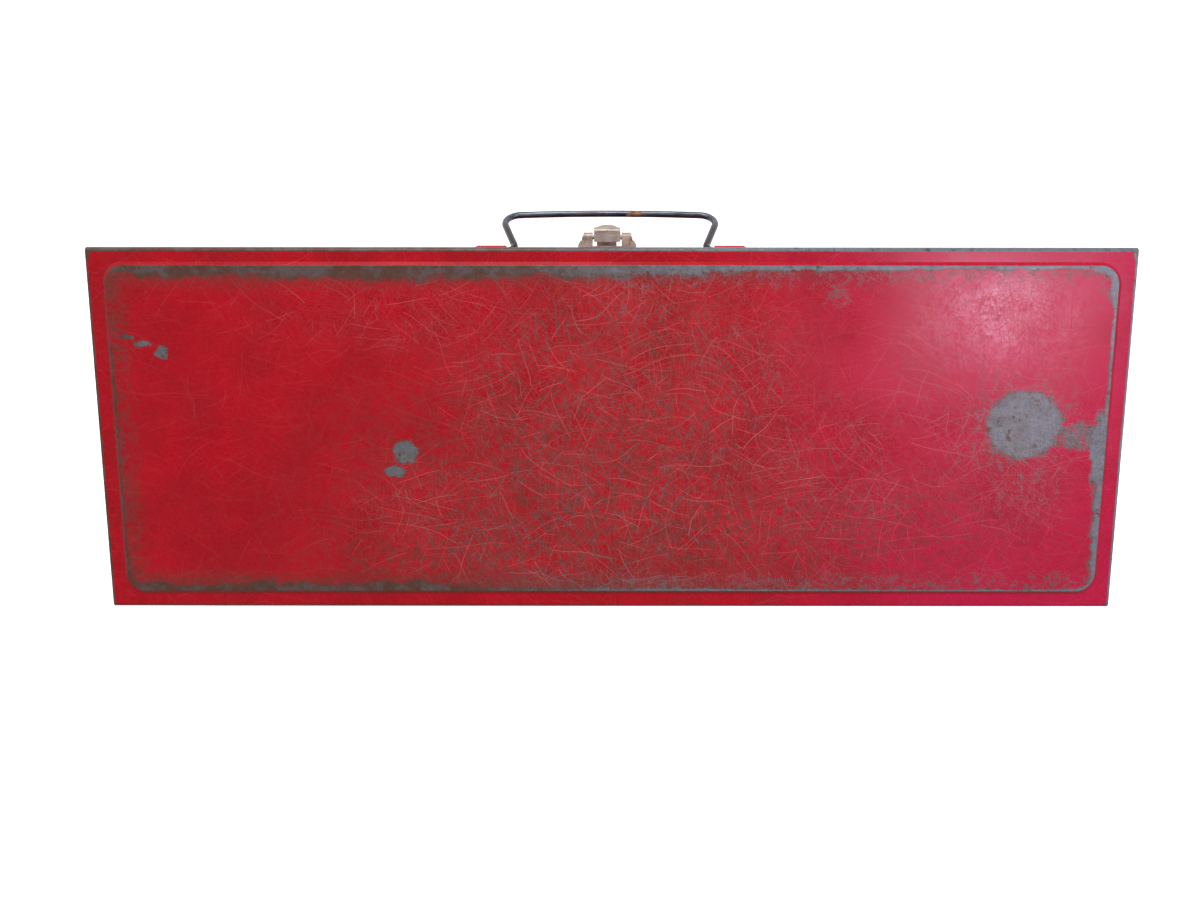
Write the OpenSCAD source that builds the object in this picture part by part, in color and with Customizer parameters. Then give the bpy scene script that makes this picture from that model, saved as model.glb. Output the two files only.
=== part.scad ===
// Flat steel tool box with a wire bail handle, a hasp and a tray that rises on
// cantilever arms when the lid is lifted.
// The case lies flat with its lid on top. X runs along the case, the handle and the
// hasp are on the -Y side, the hinge is on the +Y side, and Z = 0 is the resting face.

/* [Case] */
// Length of the case, end to end
case_l = 533.4; // [440:0.1:620]
// Width of the case, front to back
case_w = 189; // [186:0.5:230]
// Height at which the lid meets the bottom half
body_h = 67; // [66:0.5:80]
// Height of the lid, from that line up to its flat border
lid_h = 29; // [28.5:0.5:36]
// Thickness of the case's sheet steel
sheet = 0.9; // [0.7:0.05:1.1]
// Inside radius of the tightest fold in the sheet
fold_r = 0.4; // [0.3:0.1:0.8]
// Height of the lip that stands up inside the lid
lip_h = 5; // [3:0.5:6]
// Gap between the lid and the bottom half
case_gap = 0.3; // [0.2:0.05:0.5]
// Width of the welded flanges on the end plates
flange_l = 8; // [5:0.5:10]

/* [Raised panels] */
// Width of the flat border round each raised panel
panel_inset = 7.5; // [6:0.5:12]
// Width of the sloping edge of a panel
panel_slope = 2; // [1.5:0.1:3]
// Height of a panel above its border
panel_rise = 1.3; // [0.8:0.1:2]
// Corner radius of a panel's flat
panel_r = 9.5; // [6:0.5:14]

/* [Hinge] */
// Length of the piano hinge
hinge_l = 500; // [400:1:500]
// Number of knuckles in the hinge, both leaves together
knuckle_count = 20; // [12:2:24]
// Outside radius of a knuckle
knuckle_r = 2.4; // [2.2:0.1:3]
// Radius of the hinge pin
hinge_pin_r = 1.2; // [1:0.05:1.4]
// Thickness of the hinge leaves
leaf_t = 1; // [0.8:0.1:1.2]
// Height of each hinge leaf, measured from the pin
leaf_h = 16; // [14:0.5:18]
// Number of rivets in each leaf
leaf_rivet_count = 5; // [3:1:7]

/* [Handle] */
// Radius of the handle wire
wire_r = 2; // [1.6:0.1:2.4]
// Depth of the handle's pivot below the lid line
bail_down = 21; // [17:0.5:23]
// Droop of the handle below level
bail_droop = 52; // [30:1:60]
// Half the spacing of the legs where they leave the pivots
bail_leg_x = 52.7; // [48:0.1:56]
// Half the width of the handle at its grip corners
bail_grip_x = 64.5; // [58:0.1:70]
// Reach of the grip corners from the pivot
bail_reach = 37; // [34:0.5:40]
// Bow of the grip beyond its corners
bail_bow = 4; // [1:0.5:4]
// Bend radius of the wire where it enters the pivots
bail_bend_r = 4.5; // [4:0.1:4.8]
// Bend radius of the grip corners
bail_corner_r = 9; // [6:0.5:12]
// Inner end of each pressed louvre that holds the wire
louvre_x = 58.5; // [58.5:0.1:62]
// Straight length of each louvre
louvre_l = 15.5; // [13:0.5:20]
// Length of the wire inside each louvre
bail_pin_l = 13; // [10:0.5:13]
// Gap between the wire and the front wall
wire_gap = 0.25; // [0.2:0.05:0.5]

/* [Hasp] */
// Offset of the hasp from the middle of the case
hasp_x = 2.2; // [-6:0.1:6]
// Width of the hasp plate
hasp_plate_w = 30; // [28:0.5:36]
// Width of the swinging tongue
tongue_w = 13.6; // [12:0.2:14]
// Distance of the hasp pin from the front wall
hasp_pin_out = 5.7; // [5.6:0.1:6.5]
// Depth of the hasp pin below the lid's border
hasp_pin_down = 9.4; // [9:0.1:11]
// Radius of the hasp pin
hasp_pin_r = 1.2; // [1:0.05:1.3]
// Thickness of the tongue's strip
tongue_t = 1.2; // [1:0.1:1.4]
// Tilt of the tongue off its catch when it is let go
hasp_tilt = 5.2; // [5.1:0.1:7]
// Reach of the catch tab from the front wall
catch_reach = 8; // [7:0.1:8.1]
// Drop of the tongue's hook below the hasp pin
hook_drop = 36.3; // [34:0.1:38]
// Drop of the tongue's round boss below the hasp pin
dome_drop = 11; // [10:0.5:16]
// Overlap of the hook behind the catch tab
hook_grip = 2.8; // [2:0.1:2.8]

/* [Tray] */
// Depth of the tray, front to back
tray_w = 120; // [100:1:122]
// Height of the tray
tray_h = 34; // [28:0.5:35]
// Thickness of the tray's sheet steel
tray_t = 0.8; // [0.6:0.05:1]
// Height of the tray's pivots above its bottom
tray_pivot_up = 4.9; // [4:0.1:6]
// Distance of the tray's front pivots from its front wall
tray_pivot_in = 11; // [9:0.5:14]
// Width of the flanges on the tray's ends
tray_flange = 5.2; // [3:0.2:6]
// Number of dividers in the tray
divider_count = 2; // [1:1:4]

/* [Cantilever arms] */
// Length of the arms between their pivots
arm_l = 50; // [48:0.5:51]
// Angle of the arms below level with the lid shut
arm_dip = 20; // [18:0.5:22]
// Width of the arms
arm_w = 11; // [9:0.5:12]
// Thickness of the arms and links
arm_t = 1.5; // [1.2:0.1:1.6]
// Distance of the front arms' pivots from the front wall
front_pivot_in = 64.5; // [62.5:0.5:66.5]
// Distance between the front and the rear arms' pivots
pivot_spacing = 75; // [73:0.5:78]
// Distance of the arm pivots below the lid line
pivot_down = 12; // [12:0.5:14]
// Forward reach of the crank that each lid link pulls
crank_y = 40; // [38:0.5:44]
// Rise of that crank above its pivot
crank_z = 18; // [16:0.5:18]
// Radius of the pivot rivets' shanks
pivot_r = 2.5; // [2:0.1:2.8]
// Turn of the lid from shut to open
lid_turn = 105; // [95:1:105]

/* [Hidden] */

paint_red = [0.66, 0.03, 0.08];
tray_red = [0.6, 0.04, 0.08];
plate_nickel = [0.55, 0.5, 0.45];
wire_dark = [0.16, 0.18, 0.2];
zinc = [0.62, 0.64, 0.66];

round_fn = 48;
fit = 0.05;          // radial clearance of a pin that turns in a bore
over = 0.01;         // how far a cutting shape runs past the face that it opens

half_l = case_l / 2;
half_w = case_w / 2;
edge_r = fold_r + 2 * sheet;             // outside radius of the shell's long folds
step_in = sheet + case_gap;              // how far the lip stands inside the wall
shoulder_z = body_h - case_gap;          // top of the shoulder under the lid's edge
lid_top = body_h + lid_h;                // plane of the lid's flat border
front = -half_w;                         // outer face of the front wall
back = half_w;
end_in = half_l - sheet;                 // inner face of the end plates
lip_in = half_l - step_in - sheet;       // inner face of the lip at the ends

bail_z = body_h - bail_down;

hinge_y = back + knuckle_r + case_gap;
knuckle_l = hinge_l / knuckle_count;

bail_out = wire_r + wire_gap;            // pivot's distance from the front wall
louvre_in_r = wire_r + 2 * fit;
louvre_r = louvre_in_r + sheet;
doubler_h = 16;                          // height of the plates behind the louvres

hasp_pin_z = lid_top - hasp_pin_down;
curl_r = 2.4;                            // outside radius of the hasp plate's curls
curl_t = 1;                              // thickness of the hasp and catch plates
curl_in = tongue_w / 2 + 0.6;            // inner end of each curl
curl_out = curl_in + 4.8;
ledge_out = 4.4;                         // how far the hasp plate's top ledge stands out
strip_out = hasp_pin_out + 4.9;          // outer face of the tongue when it is hooked
strip_in = strip_out - tongue_t;
hook_z = hasp_pin_z - hook_drop;              // underside of the tongue's hook
hook_tip = catch_reach - hook_grip;
catch_h = 17;                            // height of the catch plate
catch_drop = 7;                          // how far it hangs below its tab
hasp_plate_drop = 14;                    // how far the hasp plate hangs below the pin
catch_z = hook_z + tongue_t + 0.5;       // underside of the catch tab

front_pivot = [front + front_pivot_in, body_h - pivot_down];
rear_pivot = front_pivot + [pivot_spacing, 0];
arm_reach = arm_l * [-cos(arm_dip), -sin(arm_dip)];
front_tray_pivot = front_pivot + arm_reach;
rear_tray_pivot = rear_pivot + arm_reach;
crank = [-crank_y, crank_z];
crank_pivot = rear_pivot + crank;
lid_pivot = [hinge_y, body_h] + crank;

plane_gap = 0.4;                         // gap between neighbouring sliding plates
link_x = lip_in - 0.6 - arm_t;           // inner face of the lid links
arm_x = link_x - plane_gap - arm_t;      // inner face of the arms
head_t = 0.8;                            // thickness of the flat rivet heads
tray_x = arm_x - head_t - plane_gap;     // outer face of the tray's ends
arm_r = arm_w / 2;
stud_r = 2;                              // radius of the link and tray rivets
stop_r = 2.5;                            // radius of the studs that stop the front arms
stop_along = 7;                          // their distance along the raised arm

tray_z = front_tray_pivot[1] - tray_pivot_up;
tray_front = front_tray_pivot[0] - tray_pivot_in;
tray_back = tray_front + tray_w;
tray_hem = 4;

// ---- shared shapes ----

// Runs a Y-Z outline along X, centred.
module along_x(length) {
    rotate([90, 0, 90]) linear_extrude(length, center = true) children();
}

// Runs a Y-Z outline along X from x0 to x1.
module between_x(x0, x1) {
    translate([x0, 0, 0]) rotate([90, 0, 90]) linear_extrude(x1 - x0) children();
}

// A round bar along X from x0 to x1, at [y, z].
module bar_x(x0, x1, at, r) {
    between_x(x0, x1) translate(at) circle(r, $fn = round_fn);
}

// A rectangle standing on y = 0 with its two lower corners rounded.
module round_foot(w, h, r) {
    translate([-w / 2 + r, 0]) square([w - 2 * r, h]);
    translate([-w / 2, r]) square([w, h - r]);
    for (side = [-1, 1]) translate([side * (w / 2 - r), r]) circle(r, $fn = round_fn);
}

// The section of a sheet folded into a U.
module folded_u(w, h, r, t) {
    difference() {
        round_foot(w, h, r);
        translate([0, t]) round_foot(w - 2 * t, h, r - t);
    }
}

// The solid under a raised panel, h high, growing from the panel's flat at z = 0.
module panel_solid(h) {
    grow = panel_slope * h / panel_rise;
    cx = half_l - panel_inset - panel_slope - panel_r;
    cy = half_w - panel_inset - panel_slope - panel_r;
    for (sx = [-1, 1], sy = [-1, 1])
        translate([sx * cx, sy * cy, 0]) cylinder(h, panel_r, panel_r + grow, $fn = round_fn);
    along_x(2 * cx) panel_section(cy + panel_r, grow, h);
    rotate([0, 0, 90]) along_x(2 * cy) panel_section(cx + panel_r, grow, h);
}

module panel_section(half, grow, h) {
    polygon([[-half, 0], [half, 0], [half + grow, h], [-half - grow, h]]);
}

// A pan: a sheet folded up along its two long edges, with a raised panel in its floor.
module pan(h) {
    difference() {
        union() {
            translate([0, 0, panel_rise]) along_x(case_l) folded_u(case_w, h, edge_r, sheet);
            panel_solid(panel_rise + sheet / 2);
        }
        translate([0, 0, sheet]) panel_solid(panel_rise + sheet / 2);
    }
}

// An end plate with its welded flanges, floor at z = 0, on the +X side.
module end_plate(h, flange_h) {
    w = case_w - 2 * sheet;
    r = edge_r - sheet;
    between_x(end_in, half_l) round_foot(w, h, r);
    between_x(end_in - flange_l, end_in) intersection() {
        folded_u(w, h, r, sheet);
        translate([-w / 2, 0]) square([w, flange_h]);
    }
}

// A plate with round corners at points of the Y-Z plane.
module round_plate(corners, r) {
    hull() for (at = corners) translate(at) circle(r, $fn = round_fn);
}

// A rivet along X with a flat head at its inner end and a domed one outside.
module rivet_x(x0, x1, at, r, head_r) {
    bar_x(x0, x1, at, r);
    bar_x(x0, x0 + head_t, at, head_r);
    translate([x1 - 1, at[0], at[1]]) rotate([0, 90, 0]) domed_head(head_r, 1);
}

// A low domed head on z = 0.
module domed_head(r, h) {
    ball = (r * r + h * h) / (2 * h);
    intersection() {
        translate([0, 0, h - ball]) sphere(ball, $fn = round_fn);
        cylinder(h, r = r, $fn = round_fn);
    }
}

// A rivet through plates that start at y = 0, its domed head towards -Y.
module rivet_y(grip, r, head_r) {
    rotate([-90, 0, 0]) cylinder(grip, r = r, $fn = round_fn);
    rotate([90, 0, 0]) domed_head(head_r, 1.1);
    translate([0, grip, 0]) rotate([-90, 0, 0]) cylinder(head_t, r = head_r - 0.4, $fn = round_fn);
}

module mirror_left() {
    mirror([1, 0, 0]) children();
}

// ---- bottom half ----

module body_shell() {
    color(paint_red) difference() {
        union() {
            pan(shoulder_z - panel_rise);
            for (side = [-1, 1]) mirror([0, side < 0 ? 1 : 0, 0]) {
                along_x(case_l) translate([half_w - step_in - sheet, shoulder_z - sheet])
                    square([step_in + sheet, sheet]);
                along_x(case_l - 2 * step_in) translate([half_w - step_in - sheet, shoulder_z - sheet])
                    square([sheet, lip_h + case_gap + sheet]);
            }
            for (side = [-1, 1]) scale_side(side) louvre(louvre_r, sheet / 2);
        }
        for (side = [-1, 1]) scale_side(side) louvre(louvre_in_r, sheet + over, over);
        leaf_rivet_places(body_h - leaf_h * 0.7) rivet_hole();
        catch_rivet_places() rivet_hole();
    }
}

module scale_side(side) {
    mirror([side < 0 ? 1 : 0, 0, 0]) children();
}

// The outward pressing that holds one end of the handle, run inwards by depth.
module louvre(r, depth, past = 0) {
    start = louvre_x - past;
    end = louvre_x + louvre_l;
    axis = front - bail_out;
    bar_x(start, end, [axis, bail_z], r);
    translate([end, axis, bail_z]) sphere(r, $fn = round_fn);
    between_x(start, end) translate([axis, bail_z - r]) square([bail_out + depth, 2 * r]);
    translate([end, axis, bail_z]) rotate([-90, 0, 0]) cylinder(bail_out + depth, r = r, $fn = round_fn);
}

module rivet_hole() {
    rotate([90, 0, 0]) cylinder(8, r = 1.5 + fit, center = true, $fn = round_fn);
}

module body_end() {
    top = shoulder_z - sheet;
    color(paint_red) difference() {
        union() {
            translate([0, 0, panel_rise + sheet])
                end_plate(top - panel_rise - sheet, top - panel_rise - 2 * sheet);
            half_y = half_w - step_in - sheet;
            between_x(lip_in, half_l) translate([-half_y, top]) square([2 * half_y, sheet]);
            between_x(end_in, half_l) translate([-half_y, top - sheet]) square([2 * half_y, 2 * sheet]);
            between_x(lip_in, lip_in + sheet) translate([-half_y, top])
                square([2 * half_y, sheet + case_gap + lip_h]);
        }
        for (at = [front_pivot, rear_pivot]) bar_x(end_in - over, half_l + over, at, pivot_r + fit);
        bar_x(end_in - over, half_l + over, stop_place(), stop_r - 1 + fit);
    }
}

module body_end_right() { body_end(); }
module body_end_left() { mirror_left() body_end(); }

module handle_doubler() {
    color(zinc) translate([louvre_x - 4, front + sheet, bail_z - doubler_h / 2])
        cube([louvre_l + louvre_r + 8, sheet, doubler_h]);
}

module handle_doubler_right() { handle_doubler(); }
module handle_doubler_left() { mirror_left() handle_doubler(); }

// ---- lid ----

module lid_shell() {
    color(paint_red) difference() {
        translate([0, 0, lid_top + panel_rise]) mirror([0, 0, 1]) pan(lid_h);
        leaf_rivet_places(body_h + leaf_h * 0.7) rivet_hole();
        hasp_rivet_places() rivet_hole();
    }
}

module lid_end() {
    color(paint_red) difference() {
        translate([0, 0, lid_top - sheet]) mirror([0, 0, 1])
            end_plate(lid_h - sheet, lid_h - sheet - lip_h - 1.5);
        bar_x(end_in - over, half_l + over, lid_pivot, stud_r + fit);
    }
}

module lid_end_right() { lid_end(); }
module lid_end_left() { mirror_left() lid_end(); }

// ---- hinge ----

module hinge_leaf(owner) {
    run = knuckle_r + case_gap;
    difference() {
        union() {
            translate([-hinge_l / 2, back, run]) cube([hinge_l, leaf_t, leaf_h - run]);
            for (i = [0 : knuckle_count - 1]) if (i % 2 == owner) {
                x0 = -hinge_l / 2 + i * knuckle_l + case_gap / 2;
                bar_x(x0, x0 + knuckle_l - case_gap, [hinge_y, 0], knuckle_r);
                translate([x0, back, 0]) cube([knuckle_l - case_gap, leaf_t, run + 1]);
            }
        }
        bar_x(-hinge_l, hinge_l, [hinge_y, 0], hinge_pin_r + fit);
        leaf_rivet_places(leaf_h * 0.7) rivet_hole();
    }
}

module leaf_rivet_places(z) {
    pitch = hinge_l / leaf_rivet_count;
    for (i = [0 : leaf_rivet_count - 1])
        translate([(i - (leaf_rivet_count - 1) / 2) * pitch, back, z]) children();
}

module hinge_leaf_lid() {
    color(zinc) translate([0, 0, body_h]) hinge_leaf(1);
}

module hinge_leaf_body() {
    color(zinc) translate([0, 0, body_h]) mirror([0, 0, 1]) hinge_leaf(0);
}

module hinge_pin() {
    color(zinc) bar_x(-hinge_l / 2, hinge_l / 2, [hinge_y, body_h], hinge_pin_r);
}

// The rivets' domed heads are on the outside of the leaves.
module hinge_rivets(z) {
    color(zinc) leaf_rivet_places(z) translate([0, leaf_t, 0]) mirror([0, 1, 0])
        rivet_y(leaf_t + sheet, 1.5, 2.4);
}

module hinge_rivets_body() { hinge_rivets(body_h - leaf_h * 0.7); }
module hinge_rivets_lid() { hinge_rivets(body_h + leaf_h * 0.7); }

// ---- handle ----

// The wire's centre line in its own plane: X along the grip, Y away from the pivots.
bail_points = [
    [-louvre_x - bail_pin_l, 0], [-bail_leg_x, 0], [-bail_grip_x, bail_reach],
    [0, bail_reach + bail_bow],
    [bail_grip_x, bail_reach], [bail_leg_x, 0], [louvre_x + bail_pin_l, 0]
];
corner_trim = bail_corner_r * tan(abs(turn_at(bail_points, 2)) / 2);
bow_run = norm(bail_points[3] - bail_points[2]) - corner_trim - 1;
bow_turn = atan2(bail_bow, bail_grip_x);
bail_radii = [0, bail_bend_r, bail_corner_r, bow_run / tan(bow_turn), bail_corner_r, bail_bend_r, 0];

bend_lap = 0.2;
bend_thin = 0.04;

function unit(v) = v / norm(v);
function turn_at(p, i) =
    let (a = unit(p[i] - p[i - 1]), b = unit(p[i + 1] - p[i]))
    atan2(a[0] * b[1] - a[1] * b[0], a * b);
function trim_at(p, r, i) =
    i == 0 || i == len(p) - 1 ? 0 : r[i] * tan(abs(turn_at(p, i)) / 2);

// A round wire that follows points p with bend radii r. Each straight length runs a
// little way over the bends, which are drawn down by a hair where they are bent.
module bent_wire(p, r, wire) {
    last = len(p) - 1;
    for (i = [0 : last - 1]) {
        dir = unit(p[i + 1] - p[i]);
        a = p[i] + dir * (trim_at(p, r, i) - (i > 0 ? bend_lap : 0));
        b = p[i + 1] - dir * (trim_at(p, r, i + 1) - (i < last - 1 ? bend_lap : 0));
        translate(a) rotate([0, 0, atan2(dir[1], dir[0])]) rotate([0, 90, 0])
            cylinder(norm(b - a), r = wire, $fn = round_fn);
    }
    for (i = [1 : len(p) - 2]) {
        turn = turn_at(p, i);
        side = sign(turn);
        dir = unit(p[i] - p[i - 1]);
        start = p[i] - dir * trim_at(p, r, i);
        centre = start + side * r[i] * [-dir[1], dir[0]];
        from = atan2(start[1] - centre[1], start[0] - centre[0]);
        translate(centre) rotate([0, 0, side > 0 ? from : from + turn])
            rotate_extrude(angle = abs(turn), $fn = 96) translate([r[i], 0])
                circle(wire - bend_thin, $fn = round_fn);
    }
}

module bail_handle() {
    color(wire_dark) translate([0, front - bail_out, bail_z]) rotate([180 + bail_droop, 0, 0])
        bent_wire(bail_points, bail_radii, wire_r);
}

// ---- hasp ----

// Places a shape drawn as [distance out from the front wall, z] and widens it along X.
module out_section(width) {
    translate([hasp_x, front, 0]) along_x(width) mirror([1, 0]) children();
}

module hasp_plate() {
    low = hasp_pin_z - hasp_plate_drop;
    top = hasp_pin_z + curl_r;
    half = hasp_plate_w / 2;
    ear_r = 3.6;
    color(plate_nickel) difference() {
        union() {
            out_section(hasp_plate_w) translate([0, low + ear_r]) square([curl_t, top - low - ear_r]);
            out_section(hasp_plate_w - 2 * ear_r) translate([0, low]) square([curl_t, ear_r]);
            for (side = [-1, 1])
                translate([hasp_x + side * (half - ear_r), front, low + ear_r]) rotate([90, 0, 0])
                    cylinder(curl_t, r = ear_r, $fn = round_fn);
            // the top ledge, with rounded ears
            translate([hasp_x - half, front - ledge_out + ear_r, top - curl_t])
                cube([hasp_plate_w, ledge_out - ear_r, curl_t]);
            translate([hasp_x - half + ear_r, front - ledge_out, top - curl_t])
                cube([hasp_plate_w - 2 * ear_r, ledge_out, curl_t]);
            for (side = [-1, 1])
                translate([hasp_x + side * (half - ear_r), front - ledge_out + ear_r, top - curl_t])
                    cylinder(curl_t, r = ear_r, $fn = round_fn);
            // the two curls round the pin
            for (side = [-1, 1]) {
                x0 = hasp_x + (side < 0 ? -curl_out : curl_in);
                bar_x(x0, x0 + curl_out - curl_in, [front - hasp_pin_out, hasp_pin_z], curl_r);
                translate([x0, front - hasp_pin_out, top - curl_t])
                    cube([curl_out - curl_in, hasp_pin_out, curl_t]);
            }
        }
        translate([-half_l, front, 0]) cube([case_l, 10, lid_top]);
        // the gap that the tongue swings in
        out_section(2 * curl_in) translate([curl_t, low]) square([20, top]);
        bar_x(-half_l, half_l, [front - hasp_pin_out, hasp_pin_z], hasp_pin_r + fit);
        hasp_rivet_places() rivet_hole();
    }
}

module hasp_rivet_places() {
    for (side = [-1, 1]) translate([hasp_x + side * 10, front, hasp_pin_z - 8]) children();
}

module hasp_rivets() {
    color(zinc) hasp_rivet_places() translate([0, -curl_t, 0]) rivet_y(curl_t + sheet, 1.5, 2.4);
}

module hasp_pin() {
    color(zinc) {
        bar_x(hasp_x - curl_out - 0.2, hasp_x + curl_out + 0.2, [front - hasp_pin_out, hasp_pin_z], hasp_pin_r);
        for (side = [-1, 1]) {
            x0 = hasp_x + side * (curl_out + 0.5);
            bar_x(x0 - 0.3, x0 + 0.3, [front - hasp_pin_out, hasp_pin_z], hasp_pin_r + 0.6);
        }
    }
}

// The tongue hooked on its catch, as [distance out, z].
module tongue_section() {
    nose_r = 2.4;
    nose_top = hasp_pin_z + 4;
    nose_low = hasp_pin_z - 2.4;
    nose_in = hasp_pin_out - 2.4;
    translate([nose_in, nose_low]) square([strip_out - nose_r - nose_in, nose_top - nose_low]);
    translate([nose_in, nose_low]) square([strip_out - nose_in, nose_top - nose_r - nose_low]);
    translate([strip_out - nose_r, nose_top - nose_r]) circle(nose_r, $fn = round_fn);
    translate([strip_in, hook_z]) square([tongue_t, hasp_pin_z - hook_z]);
    translate([hook_tip, hook_z]) square([strip_out - hook_tip, tongue_t]);
    lip_out = 0.9;
    lip_down = 5;
    polygon([
        [strip_in, hook_z + tongue_t], [strip_out, hook_z + tongue_t],
        [strip_out + lip_out, hook_z - lip_down], [strip_in + lip_out, hook_z - lip_down]
    ]);
}

module hasp_tongue() {
    dome_z = hasp_pin_z - dome_drop;
    dome_r = 6.3;
    dome_h = 1.7;
    pin_place = [0, front - hasp_pin_out, hasp_pin_z];
    color(plate_nickel) translate(pin_place) rotate([-hasp_tilt, 0, 0]) translate(-pin_place)
        difference() {
            union() {
                out_section(tongue_w) tongue_section();
                translate([hasp_x, front - strip_out, dome_z]) rotate([90, 0, 0]) domed_head(dome_r, dome_h);
            }
            translate([hasp_x, front - strip_out + tongue_t, dome_z]) rotate([90, 0, 0])
                domed_head(dome_r, dome_h);
            // the shallow face pressed into the nose
            translate([hasp_x - 4.8, front - hasp_pin_out - 2.9, hasp_pin_z + 3.6]) cube([9.6, 4.2, 1]);
            bar_x(-half_l, half_l, [front - hasp_pin_out, hasp_pin_z], hasp_pin_r + fit);
        }
}

module catch_plate() {
    half = 12;
    tab_half = 5.5;
    low = catch_z - catch_drop;
    color(plate_nickel) difference() {
        union() {
            out_section(2 * half) translate([0, low]) square([curl_t, catch_h]);
            out_section(2 * tab_half) translate([0, catch_z]) square([catch_reach, curl_t]);
        }
        // the window that the tab was bent out of
        out_section(2 * tab_half) translate([-over, catch_z - 5.5]) square([curl_t + 2 * over, 5.5]);
        catch_rivet_places() rivet_hole();
    }
}

module catch_rivet_places() {
    for (side = [-1, 1]) translate([hasp_x + side * 8.5, front, catch_z + 5]) children();
}

module catch_rivets() {
    color(zinc) catch_rivet_places() translate([0, -curl_t, 0]) rivet_y(curl_t + sheet, 1.5, 2.2);
}

// ---- cantilever arms ----

// Where the stud stands that the raised front arm comes to rest against.
function stop_place() =
    let (up = lid_turn - arm_dip, off = arm_r + stop_r + case_gap)
    front_pivot + stop_along * [-cos(up), sin(up)] + off * [sin(up), cos(up)];

module front_arm() {
    color(zinc) difference() {
        between_x(arm_x, arm_x + arm_t) round_plate([front_pivot, front_tray_pivot], arm_r);
        bar_x(arm_x - over, link_x, front_pivot, pivot_r + fit);
        bar_x(arm_x - over, link_x, front_tray_pivot, stud_r + fit);
    }
}

// The rear arm is a bell crank: one corner lifts the tray, one is pulled by the lid.
module rear_arm() {
    color(zinc) difference() {
        between_x(arm_x, arm_x + arm_t)
            round_plate([rear_pivot, rear_tray_pivot, crank_pivot], arm_r);
        bar_x(arm_x - over, link_x, rear_pivot, pivot_r + fit);
        bar_x(arm_x - over, link_x, rear_tray_pivot, stud_r + fit);
        bar_x(arm_x - over, link_x, crank_pivot, stud_r + fit);
    }
}

module lid_link() {
    color(zinc) difference() {
        between_x(link_x, link_x + arm_t) round_plate([crank_pivot, lid_pivot], arm_r - 1);
        bar_x(link_x - over, lip_in, crank_pivot, stud_r + fit);
        bar_x(link_x - over, lip_in, lid_pivot, stud_r + fit);
    }
}

module link_rivet() {
    head_r = 3.4;
    out_end = link_x + arm_t;
    color(zinc) {
        bar_x(arm_x - head_t, out_end + 0.4, crank_pivot, stud_r);
        bar_x(arm_x - head_t, arm_x - 0.05, crank_pivot, head_r);
        bar_x(arm_x + arm_t + 0.05, link_x - 0.05, crank_pivot, head_r);
        bar_x(out_end + 0.05, out_end + 0.4, crank_pivot, head_r);
    }
}

module link_studs_lid() {
    head_r = 3.4;
    out_end = link_x + arm_t;
    color(zinc) for (side = [-1, 1]) scale_side(side) {
        rivet_x(link_x - head_t - 0.1, half_l + 1, lid_pivot, stud_r, head_r);
        bar_x(out_end + 0.1, end_in, lid_pivot, head_r);
    }
}

module arm_pivot_rivets() {
    color(zinc) for (side = [-1, 1]) scale_side(side) for (at = [front_pivot, rear_pivot])
        rivet_x(arm_x - head_t, half_l + 1, at, pivot_r, pivot_r + 1.7);
}

// Tubes that hold the arms off the end plates.
module arm_spacers() {
    color(zinc) for (side = [-1, 1]) scale_side(side) for (at = [front_pivot, rear_pivot])
        difference() {
            bar_x(arm_x + arm_t + 0.1, end_in, at, pivot_r + 1.7);
            bar_x(arm_x, half_l, at, pivot_r + fit);
        }
}

module arm_stop_studs() {
    color(zinc) for (side = [-1, 1]) scale_side(side) {
        bar_x(arm_x, end_in, stop_place(), stop_r);
        bar_x(arm_x, half_l + 0.5, stop_place(), stop_r - 1);
        bar_x(half_l, half_l + 0.5, stop_place(), stop_r);
    }
}

module tray_pivot_rivets() {
    head_r = 3.2;
    color(zinc) for (side = [-1, 1]) scale_side(side) for (at = [front_tray_pivot, rear_tray_pivot]) {
        bar_x(tray_x - tray_t - head_t, arm_x + arm_t + 0.9, at, stud_r);
        bar_x(tray_x - tray_t - head_t, tray_x - tray_t, at, head_r);
        bar_x(tray_x, arm_x - 0.1, at, head_r);
        bar_x(arm_x + arm_t + 0.1, arm_x + arm_t + 0.9, at, head_r);
    }
}

// ---- tray ----

module tray_pan() {
    r = fold_r + 2 * tray_t;
    color(tray_red) translate([0, (tray_front + tray_back) / 2, tray_z]) {
        along_x(2 * tray_x) folded_u(tray_w, tray_h, r, tray_t);
        // hems folded down inside the long rims
        for (side = [-1, 1]) mirror([0, side < 0 ? 1 : 0, 0]) along_x(2 * tray_x - 2 * tray_t - 4)
            translate([tray_w / 2 - 2 * tray_t, tray_h - tray_hem]) square([tray_t, tray_hem]);
    }
}

module tray_end() {
    r = fold_r + tray_t;
    w = tray_w - 2 * tray_t;
    color(tray_red) difference() {
        translate([0, (tray_front + tray_back) / 2, tray_z + tray_t]) {
            between_x(tray_x - tray_t, tray_x) round_foot(w, tray_h - tray_t, r);
            between_x(tray_x - tray_t - tray_flange, tray_x - tray_t) intersection() {
                folded_u(w, tray_h, r, tray_t);
                translate([-w / 2, 0]) square([w, tray_h - tray_t - tray_hem - 1]);
            }
        }
        for (at = [front_tray_pivot, rear_tray_pivot])
            bar_x(tray_x - tray_t - over, tray_x + over, at, stud_r + fit);
    }
}

module tray_end_right() { tray_end(); }
module tray_end_left() { mirror_left() tray_end(); }

module tray_dividers() {
    w = tray_w - 2 * tray_t - 2 * case_gap;
    pitch = 2 * tray_x / (divider_count + 1);
    foot = 7;
    color(tray_red) for (i = [1 : divider_count])
        translate([-tray_x + i * pitch, (tray_front + tray_back) / 2, tray_z + tray_t]) {
            translate([0, -w / 2 + 1, 0]) cube([tray_t, w - 2, tray_h - tray_hem - 3]);
            translate([0, -w / 2 + 3, 0]) cube([foot, w - 6, tray_t]);
        }
}

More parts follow.
